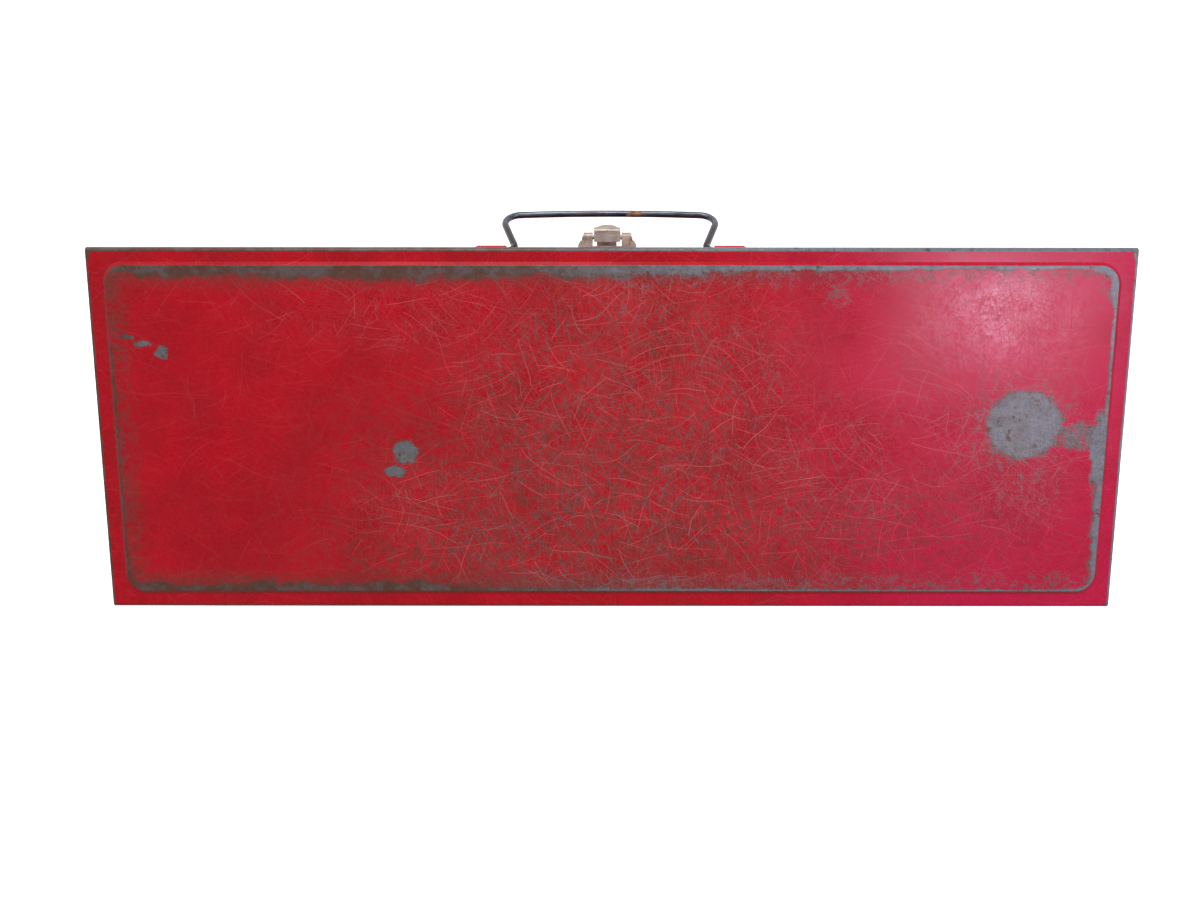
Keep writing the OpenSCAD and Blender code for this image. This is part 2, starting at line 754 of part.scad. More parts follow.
module front_arm_right() { front_arm(); }
module front_arm_left() { mirror_left() front_arm(); }
module rear_arm_right() { rear_arm(); }
module rear_arm_left() { mirror_left() rear_arm(); }
module lid_link_right() { lid_link(); }
module lid_link_left() { mirror_left() lid_link(); }
module link_rivet_right() { link_rivet(); }
module link_rivet_left() { mirror_left() link_rivet(); }

body_shell();
body_end_left();
body_end_right();
lid_shell();
lid_end_left();
lid_end_right();
hinge_leaf_body();
hinge_leaf_lid();
hinge_pin();
hinge_rivets_body();
hinge_rivets_lid();
bail_handle();
handle_doubler_left();
handle_doubler_right();
hasp_plate();
hasp_tongue();
hasp_pin();
hasp_rivets();
catch_plate();
catch_rivets();
front_arm_left();
front_arm_right();
rear_arm_left();
rear_arm_right();
lid_link_left();
lid_link_right();
link_rivet_left();
link_rivet_right();
link_studs_lid();
arm_pivot_rivets();
arm_spacers();
arm_stop_studs();
tray_pivot_rivets();
tray_pan();
tray_end_left();
tray_end_right();
tray_dividers();
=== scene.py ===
"""Looks of the flat steel tool box: worn red enamel, dark wire handle, tarnished hasp, arms and tray."""

import math

import bmesh
import bpy
from mathutils import Euler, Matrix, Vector


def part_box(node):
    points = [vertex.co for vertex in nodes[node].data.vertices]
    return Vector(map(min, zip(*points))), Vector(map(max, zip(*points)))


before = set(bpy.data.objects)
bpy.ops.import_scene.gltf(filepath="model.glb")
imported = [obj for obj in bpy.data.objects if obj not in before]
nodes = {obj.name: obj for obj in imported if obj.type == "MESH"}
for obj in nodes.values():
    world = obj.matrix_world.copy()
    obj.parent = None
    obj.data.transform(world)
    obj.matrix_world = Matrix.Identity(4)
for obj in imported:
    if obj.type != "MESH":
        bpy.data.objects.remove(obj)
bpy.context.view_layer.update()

MM = 0.001
SHEET = 0.9 * MM
PANEL_RISE = 1.3 * MM
RIM_INSET = 8.5 * MM

# The case's main sizes, read from the frame.
case_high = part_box("lid_shell")[1]
half_l = case_high.x
half_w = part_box("lid_end_right")[1].y + SHEET
border_z = case_high.z - PANEL_RISE

# The raised panel's rim, halfway up its slope.
rim_x = half_l - RIM_INSET
rim_y = half_w - RIM_INSET
rim_r = 10.5 * MM


class Finish:
    """A node material, with the few sums and patterns that the finishes are mixed from."""

    def __init__(self, name):
        self.material = bpy.data.materials.new(name)
        self.material.use_nodes = True
        self.tree = self.material.node_tree
        self.tree.nodes.clear()
        out = self.tree.nodes.new("ShaderNodeOutputMaterial")
        self.shader = self.tree.nodes.new("ShaderNodeBsdfPrincipled")
        self.tree.links.new(self.shader.outputs[0], out.inputs[0])
        self.place = self.tree.nodes.new("ShaderNodeTexCoord").outputs["Object"]
        split = self.node("ShaderNodeSeparateXYZ", Vector=self.place)
        self.x, self.y, self.z = split.outputs
        self.ragged = None
        self.rim = None

    def node(self, kind, settings=None, **sockets):
        """Adds a node. Its inputs are given by name, with underscores for spaces."""
        made = self.tree.nodes.new(kind)
        for key, value in (settings or {}).items():
            setattr(made, key, value)
        for key, value in sockets.items():
            self.feed(made.inputs[key.replace("_", " ")], value)
        return made

    def feed(self, socket, value):
        """Gives an input another node's output, or a fixed value."""
        if isinstance(value, bpy.types.NodeSocket):
            self.tree.links.new(value, socket)
        else:
            socket.default_value = value

    def sum(self, operation, *values):
        """One step of arithmetic on outputs or numbers."""
        made = self.node("ShaderNodeMath", {"operation": operation})
        for socket, value in zip(made.inputs, values):
            self.feed(socket, value)
        return made.outputs[0]

    def rise(self, value, low, high, start=0.0, end=1.0):
        """Runs smoothly from start to end as value goes from low to high."""
        made = self.node("ShaderNodeMapRange", {"interpolation_type": "SMOOTHSTEP"}, Value=value)
        for socket, number in zip(list(made.inputs)[1:5], (low, high, start, end)):
            self.feed(socket, number)
        return made.outputs[0]

    def most(self, *values):
        """The largest of the values."""
        made = values[0]
        for value in values[1:]:
            made = self.sum("MAXIMUM", made, value)
        return made

    def times(self, *values):
        """The product of the values."""
        made = values[0]
        for value in values[1:]:
            made = self.sum("MULTIPLY", made, value)
        return made

    def turned(self, degrees=0.0, stretch=(1, 1, 1), shift=(0, 0, 0)):
        """The place on the surface, turned about the vertical and then stretched."""
        return self.node(
            "ShaderNodeMapping",
            Vector=self.node(
                "ShaderNodeMapping", Vector=self.place, Location=shift,
                Rotation=(0, 0, math.radians(degrees)),
            ).outputs[0],
            Scale=stretch,
        ).outputs[0]

    def cloud(self, size, detail=4.0, roughness=0.55, at=None, bend=0.0):
        """Noise from 0 to 1 whose blotches are about size metres across."""
        made = self.node(
            "ShaderNodeTexNoise", Vector=at or self.place, Scale=1 / size,
            Detail=detail, Roughness=roughness, Distortion=bend,
        )
        return self.rise(made.outputs[0], 0.25, 0.75)

    def scratches(self, degrees, length, width, share, shift):
        """Fine lines along one direction, on about that share of the surface."""
        across = self.turned(degrees, (1 / length, 1 / width, 1 / width), shift)
        lines = self.node("ShaderNodeTexNoise", Vector=across, Scale=1.0, Detail=1.0).outputs[0]
        line = self.rise(self.sum("ABSOLUTE", self.sum("SUBTRACT", lines, 0.5)), 0.0, 0.03, 1.0, 0.0)
        here = self.cloud(0.028, 2.0, at=self.turned(degrees, (1, 1, 1), shift))
        return self.times(line, self.rise(here, 1 - share, 1 - share + 0.12))

    def gouges(self, degrees, spacing, length, width, share, seed):
        """Single thin scratches about spacing apart, each with its own place, ends and slight bend."""
        tilted = self.node(
            "ShaderNodeMapping", Vector=self.place, Location=(0.13 * seed, 0.29 * seed, 0),
            Rotation=(0.45, 0.3, math.radians(degrees)),
        ).outputs[0]
        along, across, _ = self.node("ShaderNodeSeparateXYZ", Vector=tilted).outputs
        bent = self.sum("ADD", across, self.times(self.cloud(60 * MM, 1.0, at=tilted), 12 * MM))
        rows = self.node(
            "ShaderNodeTexVoronoi", {"voronoi_dimensions": "1D"},
            W=self.sum("DIVIDE", bent, spacing), Scale=1.0,
        )
        half = width / (2 * spacing)
        line = self.rise(rows.outputs["Distance"], 0.6 * half, 1.5 * half, 1.0, 0.0)
        own = self.node("ShaderNodeSeparateColor", Color=rows.outputs["Color"]).outputs[0]
        reach = self.sum("ADD", self.sum("DIVIDE", along, length), self.times(own, 61.0))
        ends = self.node(
            "ShaderNodeTexNoise", {"noise_dimensions": "1D"}, W=reach, Scale=1.0, Detail=1.0,
        ).outputs[0]
        faint = self.sum("ADD", 0.35, self.times(own, 0.65))
        return self.times(line, self.rise(ends, 0.66 - 0.32 * share, 0.72 - 0.32 * share), faint)

    def blend(self, share, under, over):
        """The colour under where share is 0, the colour over where it is 1."""
        made = self.node("ShaderNodeMix", {"data_type": "RGBA"})
        self.feed(made.inputs[0], share)
        for socket, colour in ((made.inputs[6], under), (made.inputs[7], over)):
            self.feed(socket, colour if isinstance(colour, bpy.types.NodeSocket) else (*colour, 1))
        return made.outputs[2]

    def bump(self, height, depth):
        """Surface relief of that depth in metres."""
        return self.node("ShaderNodeBump", Height=height, Distance=depth, Strength=1.0).outputs[0]

    def finish(self, colour, roughness, metal=0.0, normal=None, **fixed):
        """Feeds the shader and returns the material."""
        self.feed(self.shader.inputs["Base Color"], colour)
        self.feed(self.shader.inputs["Roughness"], roughness)
        self.feed(self.shader.inputs["Metallic"], metal)
        if normal is not None:
            self.tree.links.new(normal, self.shader.inputs["Normal"])
        for key, value in fixed.items():
            self.shader.inputs[key.replace("_", " ")].default_value = value
        return self.material

    def spot(self, centre_x, centre_y, reach_x, reach_y, edge=0.35):
        """1 inside a ragged oval on the case's face, fading to 0 past its edge; places in millimetres."""
        if self.ragged is None:
            self.ragged = []
            for along, size in ((self.x, 7), (self.y, 6)):
                wander = self.sum("SUBTRACT", self.cloud(size * MM, 4.0, 0.7), 0.5)
                self.ragged.append(self.sum("ADD", along, self.times(wander, size * 0.38 * MM)))
        x, y = self.ragged
        dx = self.sum("DIVIDE", self.sum("SUBTRACT", x, centre_x * MM), reach_x * MM)
        dy = self.sum("DIVIDE", self.sum("SUBTRACT", y, centre_y * MM), reach_y * MM)
        away = self.sum("SQRT", self.sum("ADD", self.times(dx, dx), self.times(dy, dy)))
        return self.rise(away, 1 - edge, 1 + edge, 1.0, 0.0)

    def rim_distance(self):
        """Distance from the raised panel's rim, less than 0 inside it."""
        if self.rim is not None:
            return self.rim
        ax = self.sum("SUBTRACT", self.sum("ABSOLUTE", self.x), rim_x - rim_r)
        ay = self.sum("SUBTRACT", self.sum("ABSOLUTE", self.y), rim_y - rim_r)
        ox, oy = self.sum("MAXIMUM", ax, 0.0), self.sum("MAXIMUM", ay, 0.0)
        out = self.sum("SQRT", self.sum("ADD", self.times(ox, ox), self.times(oy, oy)))
        inside = self.sum("MINIMUM", self.sum("MAXIMUM", ax, ay), 0.0)
        self.rim = self.sum("SUBTRACT", self.sum("ADD", out, inside), rim_r)
        return self.rim

    def edge_distance(self, z_fold):
        """Distance from the nearest fold or corner: the second smallest distance to the case's faces."""
        a = self.sum("SUBTRACT", half_l, self.sum("ABSOLUTE", self.x))
        b = self.sum("SUBTRACT", half_w, self.sum("ABSOLUTE", self.y))
        c = self.sum("ABSOLUTE", self.sum("SUBTRACT", self.z, z_fold))
        low, high = self.sum("MINIMUM", a, b), self.sum("MAXIMUM", a, b)
        return self.sum("MAXIMUM", low, self.sum("MINIMUM", high, c))


# ---- finishes ----

ENAMEL = (0.40, 0.002, 0.010)
ENAMEL_DEEP = (0.29, 0.002, 0.007)
# The next colour, a pinker red, is partly faded paint and partly a painted pink sheen.
ENAMEL_FADED_SHEEN = (0.47, 0.006, 0.062)
GRIME = (0.125, 0.032, 0.025)
SCUFF = (0.46, 0.06, 0.065)
GOUGE = (0.62, 0.17, 0.16)
STEEL = (0.09, 0.106, 0.114)
STEEL_LIGHT = (0.15, 0.177, 0.192)
STEEL_BRIGHT = (0.46, 0.48, 0.5)
DULL_STEEL = (0.078, 0.036, 0.023)
FRINGE = (0.075, 0.034, 0.023)
RUST = (0.075, 0.036, 0.02)
RUST_BRIGHT = (0.34, 0.15, 0.035)

ENAMEL_SPECULAR = 0.12
SKIN_DEPTH = 0.04 * MM

# Long scratches: the direction in degrees, the spacing and length in millimetres, and the share.
LONG_SCRATCHES = (
    (-24, 6, 34, 0.34), (11, 7, 46, 0.36), (73, 6, 26, 0.3),
    (-58, 6, 30, 0.3), (36, 6, 36, 0.34), (-6, 5, 52, 0.36),
)


def hairs(f, size, width):
    """Short curly scratches, as a rag full of grit leaves them."""
    lines = f.node(
        "ShaderNodeTexNoise", Vector=f.place, Scale=1 / (size * MM), Detail=1.5, Distortion=0.6,
    ).outputs[0]
    return f.rise(f.sum("ABSOLUTE", f.sum("SUBTRACT", lines, 0.5)), 0.0, width, 1.0, 0.0)


def scuffing(f, amount):
    """Fine scratches from 0 to 1: a dense fuzz of short ones, and thin single ones in six directions."""
    layers = []
    fuzz = (
        (8, 9, 0.7, 0.62, 0.62), (-47, 8, 0.65, 0.60, 0.6),
        (44, 10, 0.65, 0.60, 0.6), (88, 9, 0.7, 0.55, 0.6),
    )
    for i, (angle, length, width, share, strength) in enumerate(fuzz):
        shift = (0.31 * i, 0.17 * i, 0)
        lines = f.scratches(angle, length * MM, width * MM, share * amount, shift)
        layers.append(f.times(lines, strength))
    single = ((28, 2.0, 13), (-33, 2.2, 15), (84, 2.0, 11), (-70, 2.1, 14), (55, 1.9, 12), (-3, 1.9, 18))
    for seed, (angle, spacing, length) in enumerate(single, 11):
        layers.append(f.gouges(angle, spacing * MM, length * MM, 0.17 * MM, 0.55 * amount, seed))
    layers.append(f.times(hairs(f, 2.6, 0.03), f.rise(f.cloud(19 * MM, 3.0), 0.62 - 0.3 * amount, 0.9), 0.6))
    return f.most(*layers)


def nicks(f, amount):
    """Small long chips down to the steel."""
    rough_edge = f.times(f.cloud(0.7 * MM, 3.0, 0.75), 0.3)
    along = f.cloud(1.0, 3.0, 0.65, at=f.turned(4, (520, 150, 520)))
    across = f.cloud(1.0, 3.0, 0.65, at=f.turned(-40, (620, 190, 620), (0.4, 0.2, 0)))
    chips = f.sum("ADD", f.most(along, f.times(across, 0.96)), rough_edge)
    gathered = f.rise(f.cloud(16 * MM, 3.0, 0.6), 0.3, 0.8)
    return f.rise(f.sum("ADD", chips, f.times(amount, gathered, 0.52)), 1.38, 1.5)


def specks(f, amount):
    """Paint flaked off in dots along scratches."""
    tracks = f.most(*(
        f.gouges(angle, 3 * MM, length * MM, 1.1 * MM, 0.5, seed)
        for angle, length, seed in ((86, 24, 21), (-48, 15, 22), (40, 16, 23))
    ))
    return f.rise(f.sum("ADD", f.cloud(0.5 * MM, 2.0, 0.6), f.times(tracks, amount, 0.66)), 0.98, 1.16)


def enamelled(name, worn, worn_edges, scuffs=1.0, stained=None, chipped=None, faded_and_sheen=None, dulled=None,
              colour=ENAMEL):
    """Red enamel on sheet steel. The functions among the arguments say where each kind of wear is, and where
    the pinker fade with its painted pink sheen goes.
    """
    f = Finish(name)
    patches = f.cloud(30 * MM, 4.0, 0.6)
    lines = scuffing(f, scuffs)
    chips = chipped(f) if chipped is not None else None
    if chips is None:
        busy = f.times(f.rise(f.cloud(70 * MM, 2.0), 0.35, 0.9), 0.45)
    else:
        busy = f.rise(chips, 0.05, 0.8)
    lines = f.times(lines, f.sum("ADD", 0.32, f.times(busy, 0.68)))
    grain = f.sum("ADD", f.times(f.cloud(0.7 * MM, 4.0, 0.75), 0.5), f.times(f.cloud(4 * MM, 5.0, 0.72), 0.5))
    worn_away = f.most(worn(f), worn_edges(f))
    rubbed = f.sum("ADD", worn_away, f.times(lines, f.rise(worn_away, 0.1, 0.5), 0.42))
    bare = f.rise(f.sum("SUBTRACT", rubbed, grain), -0.04, 0.16)
    if chips is not None:
        flaked = f.times(nicks(f, chips), f.rise(chips, 0.1, 0.5), 0.72)
        bare = f.most(bare, flaked, f.times(specks(f, busy), 0.8))
    red = f.blend(patches, ENAMEL_DEEP, colour)
    # The pinker fade also carries a painted pink sheen.
    if faded_and_sheen is not None:
        red = f.blend(faded_and_sheen(f), red, ENAMEL_FADED_SHEEN)
    if stained is not None:
        grimy = f.times(stained(f), f.rise(f.cloud(4 * MM, 6.0, 0.75), 0.2, 0.75), 0.8)
        red = f.blend(grimy, red, GRIME)
    red = f.blend(f.times(lines, 0.62), red, SCUFF)
    gouges = f.most(*(
        f.gouges(angle, spacing * MM, length * MM, 0.17 * MM, share * scuffs, seed)
        for seed, (angle, spacing, length, share) in enumerate(LONG_SCRATCHES, 1)
    ))
    red = f.blend(f.times(gouges, f.sum("ADD", 0.16, f.times(busy, 0.6))), red, GOUGE)
    metal = f.blend(f.cloud(2.2 * MM, 5.0, 0.75), STEEL, STEEL_LIGHT)
    mottle = f.rise(f.cloud(9 * MM, 4.0, 0.65), 0.2, 0.8)
    if dulled is None:
        dull = f.times(mottle, 0.6)
    else:
        dull = f.times(dulled(f, chips), f.sum("ADD", 0.75, f.times(mottle, 0.3)))
    metal = f.blend(dull, metal, DULL_STEEL)
    metal = f.blend(f.rise(worn_away, 0.5, 0.85, 0.75, 0.0), metal, FRINGE)
    metal = f.blend(f.times(lines, f.rise(dull, 0.2, 0.9, 0.32, 0.08)), metal, STEEL_BRIGHT)
    metal = f.blend(f.rise(f.cloud(5 * MM, 6.0, 0.75), 0.68, 0.9, 0.0, 0.85), metal, RUST)
    base = f.blend(bare, red, metal)
    smooth = f.sum("ADD", 0.2, f.times(patches, 0.08))
    rough = f.sum("ADD", smooth, f.most(f.times(bare, 0.2), f.times(lines, 0.45)))
    sheet_waves = f.bump(f.cloud(85 * MM, 1.0), 0.7 * MM)
    return f.finish(base, rough, f.times(bare, 0.25), sheet_waves, Specular_IOR_Level=ENAMEL_SPECULAR)


def outer_face(f):
    """1 on the outside of the lid's raised flat, 0 on its inside and on the rest of the lid."""
    return f.rise(f.z, case_high.z - 0.5 * MM, case_high.z - 0.35 * MM)


def face_wear(f):
    """Where the lid's face is rubbed to the steel: along the panel's rim, a round spot and a few knocks."""
    inward = f.sum("SUBTRACT", f.times(f.rim_distance(), -1.0), 0.9 * MM)
    front_side = f.rise(f.y, -half_w + 20 * MM, -half_w + 45 * MM, 1.0, 0.0)
    back_side = f.rise(f.y, half_w - 35 * MM, half_w - 18 * MM)
    off_front = f.rise(f.y, -half_w + 11 * MM, -half_w + 16 * MM)
    left_end = f.times(f.rise(f.x, half_l - 30 * MM, half_l - 14 * MM), off_front)
    right_end = f.rise(f.x, -half_l + 14 * MM, -half_l + 30 * MM, 1.0, 0.0)
    ragged = f.times(f.cloud(32 * MM, 4.0, 0.65), 3.4 * MM)
    front_left = f.times(front_side, f.rise(f.x, -90 * MM, -10 * MM), f.sum("ADD", 0.9 * MM, ragged))
    back_left = f.times(back_side, f.rise(f.x, 40 * MM, 110 * MM), f.sum("ADD", 0.3 * MM, ragged))
    front_middle = f.times(front_side, f.rise(f.x, -240 * MM, -90 * MM), 1.0 * MM)
    reach = 1.4 * MM
    for more in (front_left, back_left, front_middle):
        reach = f.sum("ADD", reach, more)
    thick_corners = f.most(f.spot(-250, -80, 18, 15, 0.6), f.spot(-250, 62, 30, 34, 0.5))
    reach = f.sum("ADD", reach, f.times(right_end, thick_corners, 2.3 * MM))
    reach = f.sum("MULTIPLY", reach, f.sum("ADD", 0.55, f.times(f.cloud(11 * MM, 4.0, 0.7), 0.85)))
    fade = f.sum("SUBTRACT", 1.25, f.sum("DIVIDE", f.sum("MAXIMUM", inward, 0.0), f.times(reach, 1.7)))
    strength = f.sum("SUBTRACT", 1.0, f.times(left_end, f.rise(f.y, -52 * MM, -46 * MM, 1.0, 0.0), 0.9))
    strength = f.sum("SUBTRACT", strength, f.times(left_end, 0.34))
    strength = f.sum("SUBTRACT", strength, f.times(back_side, f.rise(f.x, -120 * MM, 40 * MM, 1.0, 0.0), 0.3))
    rim_wear = f.times(f.sum("MAXIMUM", fade, 0.0), f.rise(inward, -0.25 * MM, 0.15 * MM), strength)
    on_flat = f.rise(inward, -0.2 * MM, 0.2 * MM)
    speckles = f.times(f.rise(inward, 0.0, 30 * MM, 0.46, 0.0), on_flat, f.most(front_side, back_side))
    rubbed = f.most(
        f.times(f.spot(-214, -4, 19.5, 17.5, 0.34), 1.2),
        f.times(f.spot(-245, 2, 17, 9, 0.6), 0.66), f.times(f.spot(-254, 9, 5, 22, 0.5), 0.9),
        f.times(f.spot(107.5, 10, 6.5, 6.5), 0.95), f.times(f.spot(113, 20.5, 6, 3.5), 0.9),
        f.times(f.spot(231, -41, 4, 3.2), 0.95), f.times(f.spot(240, -45.5, 5, 2), 0.9),
        f.times(f.spot(248, -49, 4, 1.6), 0.75),
        f.times(f.spot(-212, -4, 44, 36, 0.7), 0.40), f.times(f.spot(-218, 24, 30, 46, 0.7), 0.34),
        f.times(f.spot(-116, -72, 9, 12, 0.8), 0.46),
    )
    return f.times(f.most(rim_wear, speckles, rubbed), outer_face(f))


def face_chips(f):
    """Where the lid's face is chipped: the middle and the right, which things were dragged over."""
    return f.times(outer_face(f), f.most(
        f.times(f.spot(-10, -20, 85, 62, 0.7), 0.95), f.times(f.spot(20, 45, 110, 42, 0.7), 0.85),
        f.times(f.spot(-105, 25, 80, 60, 0.8), 0.62), f.times(f.spot(-190, -12, 70, 80, 0.8), 0.6),
        f.times(f.spot(80, -60, 110, 24, 0.8), 0.5),
    ))


def face_dull(f, chips):
    """Old bare steel has gone brown towards the left end and the middle."""
    by_rim = f.rise(f.rim_distance(), -17 * MM, -9 * MM, 0.45, 1.0)
    return f.most(f.times(f.rise(f.x, -90 * MM, 90 * MM, 0.12, 0.98), by_rim), f.times(chips, 0.8))


def face_fade_and_sheen(f):
    """The right half is a shade pinker, on the outside only: partly faded paint, partly a painted pink sheen
    where the light glares on that side.
    """
    above = f.rise(f.z, border_z - 0.6 * MM, border_z - 0.3 * MM)
    border = f.times(f.rise(f.rim_distance(), 0.0, 0.5 * MM), above)
    uneven = f.sum("ADD", 0.45, f.times(f.cloud(60 * MM, 3.0), 0.5))
    # Painted pink sheen mixed with fading, strongest towards the right end.
    faded_sheen_share = f.times(f.rise(f.x, -250 * MM, -20 * MM, 1.0, 0.0), uneven)
    return f.times(faded_sheen_share, f.most(border, outer_face(f)))


def lid_edge_wear(f):
    """The folds of the lid, rubbed bright along their whole length."""
    edge = f.edge_distance(border_z)
    front_fold = f.times(f.rise(f.y, -half_w + 4 * MM, -half_w + 8 * MM, 1.0, 0.0), 1.3 * MM)
    rubbed_length = f.sum("ADD", 0.8, f.times(f.cloud(40 * MM, 2.0), 0.35))
    return f.times(f.rise(f.sum("SUBTRACT", edge, front_fold), 0.5 * MM, 1.9 * MM, 1.0, 0.0), rubbed_length)


def body_edge_wear(f):
    """The body's corners and bottom folds."""
    edge = f.edge_distance(PANEL_RISE)
    rubbed_length = f.sum("ADD", 0.6, f.times(f.cloud(40 * MM, 2.0), 0.4))
    return f.times(f.rise(edge, 0.5 * MM, 3.0 * MM, 1.0, 0.0), rubbed_length)


def foot_wear(f):
    """The bottom panel's flat, scraped by every bench that it has stood on."""
    low = f.rise(f.z, 0.2 * MM, 0.6 * MM, 1.0, 0.0)
    return f.times(low, f.sum("ADD", 0.36, f.times(f.cloud(60 * MM, 3.0), 0.3)))


def face_stain(f):
    """Brown grime in the scuffed middle, and a haze of it inside the rim."""
    inward = f.times(f.rim_distance(), -1.0)
    inside_rim = f.rise(inward, 0.4 * MM, 1 * MM)
    haze = f.times(f.rise(inward, 1 * MM, 17 * MM, 1.0, 0.0), f.rise(f.x, -210 * MM, -20 * MM), inside_rim)
    return f.times(outer_face(f), f.most(
        f.times(f.spot(15, 30, 110, 70, 0.8), 0.95), f.times(f.spot(-60, 52, 150, 34, 0.8), 0.9),
        f.times(f.spot(-10, -45, 70, 34, 0.8), 0.7), f.times(f.spot(0, 52, 120, 34, 0.8), 1.1),
        f.times(f.spot(60, 70, 90, 22, 0.8), 1.1), f.times(haze, 1.2),
    ))


def body_stain(f):
    """Grime along the foot of the body."""
    return f.times(f.rise(f.z, 2 * MM, 20 * MM, 1.0, 0.2), 0.5)


def no_wear(f):
    """Too little to bare the steel."""
    return f.times(f.cloud(30 * MM, 3.0), 0.2)


def tray_edge_wear(f):
    """The tray's top edge, rubbed by hands and tools."""
    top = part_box("tray_pan")[1].z
    rim = f.sum("ABSOLUTE", f.sum("SUBTRACT", top, f.z))
    return f.times(f.rise(rim, 0.3 * MM, 2.2 * MM, 1.0, 0.0), 0.75)


def wrought(name, dark, light, rust_share, roughness, metal=0.75):
    """Bare or plated steel, with fine rubbing, darker dirt and rust that starts in spots."""
    f = Finish(name)
    rubbed = f.cloud(0.3 * MM, 3.0, 0.6, at=f.turned(0, (0.05, 1, 1)))
    dirt = f.cloud(6.0 * MM, 5.0, 0.65)
    base = f.blend(f.sum("ADD", f.times(dirt, 0.65), f.times(rubbed, 0.35)), dark, light)
    damp = f.sum("ADD", f.times(f.cloud(4 * MM, 6.0, 0.7), 0.6), f.times(f.cloud(22 * MM, 2.0), 0.4))
    rusty = f.rise(damp, 1 - rust_share, 1.06 - rust_share)
    rust = f.blend(f.cloud(1.2 * MM, 4.0), RUST, RUST_BRIGHT)
    base = f.blend(rusty, base, rust)
    rough = f.sum("ADD", f.sum("ADD", roughness, f.times(rubbed, 0.12)), f.times(rusty, 0.3))
    bumps = f.bump(f.sum("ADD", f.times(rubbed, 0.3), rusty), SKIN_DEPTH)
    return f.finish(base, rough, f.times(f.sum("SUBTRACT", 1.0, rusty), metal), bumps)


def wire_finish():
    """Blackened wire, polished by hands along the grip and painted lighter and bluer there as a highlight,
    with one rusty chip near the middle.
    """
    f = Finish("dark wire")
    rubbed = f.cloud(0.7 * MM, 4.0, 0.6, at=f.turned(0, (0.06, 1, 1)))
    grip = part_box("bail_handle")[0].y
    grip_polish_and_highlight = f.rise(f.y, grip + 6 * MM, grip + 13 * MM, 1.0, 0.0)
    polish_and_highlight = f.times(rubbed, f.sum("ADD", 0.08, f.times(grip_polish_and_highlight, 0.62)))
    # The grip is painted lighter and bluer: partly hand polish, partly a painted highlight.
    base = f.blend(polish_and_highlight, (0.016, 0.013, 0.013), (0.15, 0.19, 0.23))
    chip_x = -14.8 * MM
    away = f.sum("ABSOLUTE", f.sum("SUBTRACT", f.x, chip_x))
    chip = f.rise(f.sum("ADD", away, f.times(f.cloud(1.8 * MM, 4.0), 4 * MM)), 5.5 * MM, 6.8 * MM, 1.0, 0.0)
    base = f.blend(chip, base, f.blend(f.cloud(2.4 * MM, 3.0), (0.03, 0.02, 0.01), (0.24, 0.15, 0.05)))
    rough = f.sum("ADD", f.sum("ADD", 0.24, f.times(rubbed, 0.14)), f.times(chip, 0.35))
    bumps = f.bump(f.sum("ADD", f.times(rubbed, 0.3), chip), SKIN_DEPTH)
    return f.finish(base, rough, f.times(f.sum("SUBTRACT", 1.0, chip), 0.85), bumps)


lid_enamel = enamelled(
    "lid enamel", face_wear, lid_edge_wear, 1.0, face_stain, face_chips, face_fade_and_sheen, face_dull,
)
body_enamel = enamelled("body enamel", foot_wear, body_edge_wear, 0.8, body_stain)
tray_enamel = enamelled("tray enamel", no_wear, tray_edge_wear, 0.7, colour=(0.36, 0.008, 0.02))
dark_wire = wire_finish()
worn_nickel = wrought("worn nickel", (0.11, 0.08, 0.06), (0.34, 0.285, 0.235), 0.36, 0.38, 0.6)
hinge_steel = wrought("hinge steel", (0.16, 0.16, 0.16), (0.42, 0.42, 0.42), 0.3, 0.42)
arm_zinc = wrought("arm zinc", (0.34, 0.35, 0.36), (0.6, 0.62, 0.64), 0.2, 0.36)
rivet_steel = wrought("rivet steel", (0.24, 0.24, 0.25), (0.52, 0.53, 0.54), 0.28, 0.38)

FINISHES = {
    "lid_shell": lid_enamel, "lid_end_left": lid_enamel, "lid_end_right": lid_enamel,
    "body_shell": body_enamel, "body_end_left": body_enamel, "body_end_right": body_enamel,
    "tray_pan": tray_enamel, "tray_end_left": tray_enamel, "tray_end_right": tray_enamel,
    "tray_dividers": tray_enamel, "bail_handle": dark_wire,
    "hasp_plate": worn_nickel, "hasp_tongue": worn_nickel, "catch_plate": worn_nickel,
    "hinge_leaf_body": hinge_steel, "hinge_leaf_lid": hinge_steel, "hinge_pin": hinge_steel,
    "front_arm_left": arm_zinc, "front_arm_right": arm_zinc, "rear_arm_left": arm_zinc,
    "rear_arm_right": arm_zinc, "lid_link_left": arm_zinc, "lid_link_right": arm_zinc,
    "handle_doubler_left": arm_zinc, "handle_doubler_right": arm_zinc,
}

for node_name, node in nodes.items():
    node.data.materials.clear()
    node.data.materials.append(FINISHES.get(node_name, rivet_steel))


# ---- floor, light and camera ----

# The floor reaches this far each way, in metres, and lies just under the case.
FLOOR_HALF = 12
FLOOR_DROP = 0.2 * MM
FLOOR_GLOW = 0.82

# How strongly the surroundings light the case, from the one side and from the other.
GLOW_SIDE, DIM_SIDE = 0.34, 0.14


def ground():
    """A floor that takes shadows, and is white to the camera and in mirrors and glass."""
    mesh = bpy.data.meshes.new("floor")
    shape = bmesh.new()
    bmesh.ops.create_grid(shape, x_segments=1, y_segments=1, size=FLOOR_HALF)
    shape.to_mesh(mesh)
    shape.free()
    floor = bpy.data.objects.new("floor", mesh)
    bpy.context.scene.collection.objects.link(floor)
    floor.location.z = -FLOOR_DROP
    f = Finish("white floor")
    f.finish((0.9, 0.9, 0.9, 1), 0.8)
    path = f.node("ShaderNodeLightPath").outputs
    seen = f.most(path["Is Camera Ray"], path["Is Glossy Ray"], path["Is Transmission Ray"])
    f.feed(f.shader.inputs["Emission Color"], (1, 1, 1, 1))
    f.feed(f.shader.inputs["Emission Strength"], f.times(seen, FLOOR_GLOW))
    mesh.materials.append(f.material)


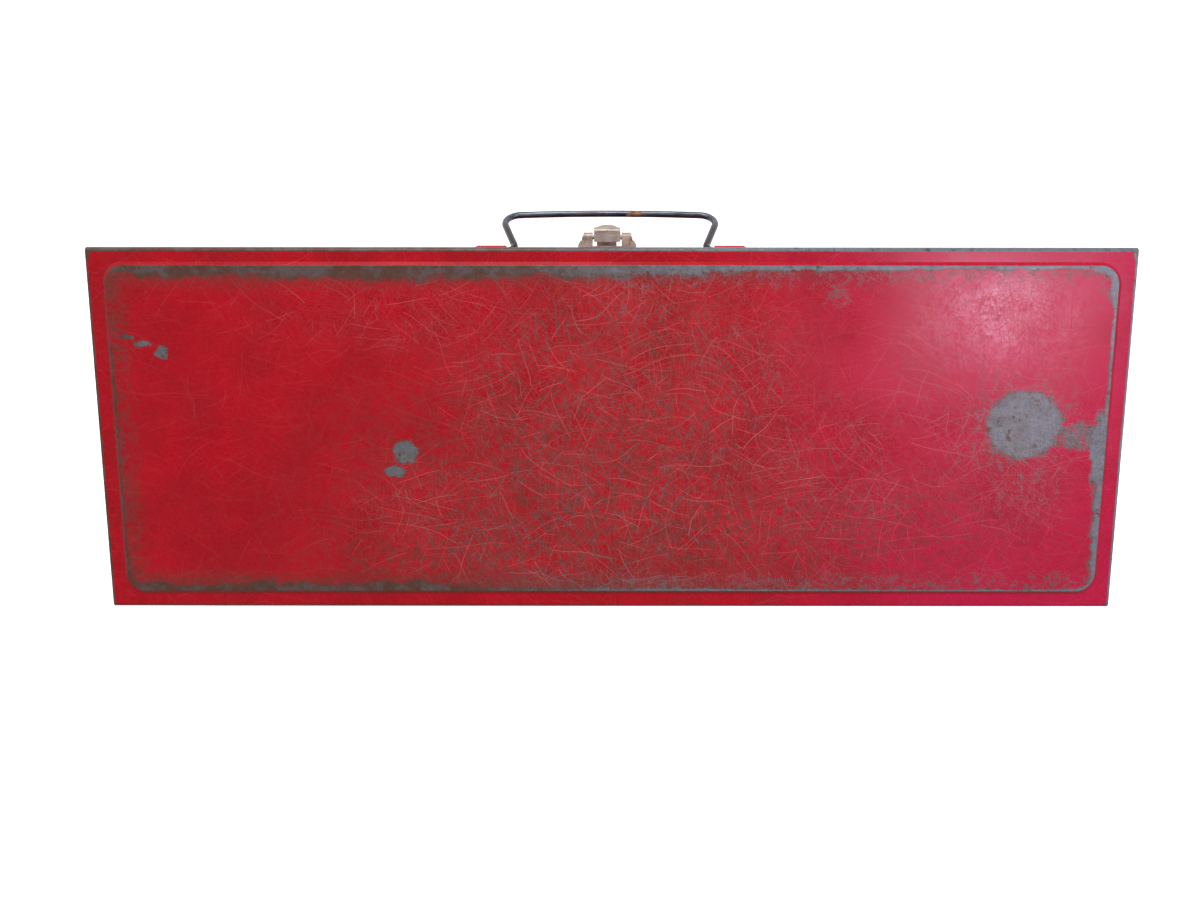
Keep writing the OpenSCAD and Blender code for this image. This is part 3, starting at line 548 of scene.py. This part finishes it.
def soft_lamp(name, place, width, watts, colour=(1, 1, 1)):
    """A square lamp that points at the case."""
    data = bpy.data.lights.new(name, "AREA")
    data.size, data.energy, data.color = width, watts, colour
    lamp = bpy.data.objects.new(name, data)
    lamp.location = place
    lamp.rotation_euler = (Vector((0, 0, 0.05)) - Vector(place)).to_track_quat("-Z", "Y").to_euler()
    bpy.context.scene.collection.objects.link(lamp)


def surroundings():
    """Soft light, stronger from one side; white to the camera and in mirrors and glass."""
    world = bpy.data.worlds.new("studio")
    world.use_nodes = True
    bpy.context.scene.world = world
    tree = world.node_tree
    back = tree.nodes["Background"]
    path = tree.nodes.new("ShaderNodeLightPath").outputs
    mirrored, seen = tree.nodes.new("ShaderNodeMath"), tree.nodes.new("ShaderNodeMath")
    mirrored.operation = seen.operation = "MAXIMUM"
    tree.links.new(path["Is Glossy Ray"], mirrored.inputs[0])
    tree.links.new(path["Is Transmission Ray"], mirrored.inputs[1])
    tree.links.new(path["Is Camera Ray"], seen.inputs[0])
    tree.links.new(mirrored.outputs[0], seen.inputs[1])
    heading = tree.nodes.new("ShaderNodeTexCoord")
    split = tree.nodes.new("ShaderNodeSeparateXYZ")
    side = tree.nodes.new("ShaderNodeMapRange")
    for socket, number in zip(list(side.inputs)[1:5], (-0.5, 0.0, GLOW_SIDE, DIM_SIDE)):
        socket.default_value = number
    level = tree.nodes.new("ShaderNodeMix")
    tree.links.new(heading.outputs["Generated"], split.inputs[0])
    tree.links.new(split.outputs["X"], side.inputs["Value"])
    tree.links.new(seen.outputs[0], level.inputs[0])
    tree.links.new(side.outputs[0], level.inputs[2])
    level.inputs[3].default_value = 1.0
    tree.links.new(level.outputs[0], back.inputs["Strength"])
    back.inputs["Color"].default_value = (1, 1, 1, 1)


def camera():
    """Looks almost straight down at the lid, from a little towards the handle, with the handle at the top."""
    data = bpy.data.cameras.new("camera")
    data.sensor_width, data.lens = 36, 25.8
    eye = bpy.data.objects.new("camera", data)
    eye.location = (5.53 * MM, -54.32 * MM, 540.92 * MM)
    eye.rotation_euler = Euler([math.radians(a) for a in (-8.139, 0.044, -179.96)])
    bpy.context.scene.collection.objects.link(eye)
    bpy.context.scene.camera = eye


ground()
soft_lamp("broad key", (0.3, -1.5, 1.25), 0.9, 36)
soft_lamp("side glow", (-0.70, -0.09, 1.2), 0.13, 7.5, (0.88, 0.76, 1.0))
surroundings()
camera()
bpy.context.scene.view_settings.view_transform = "Standard"
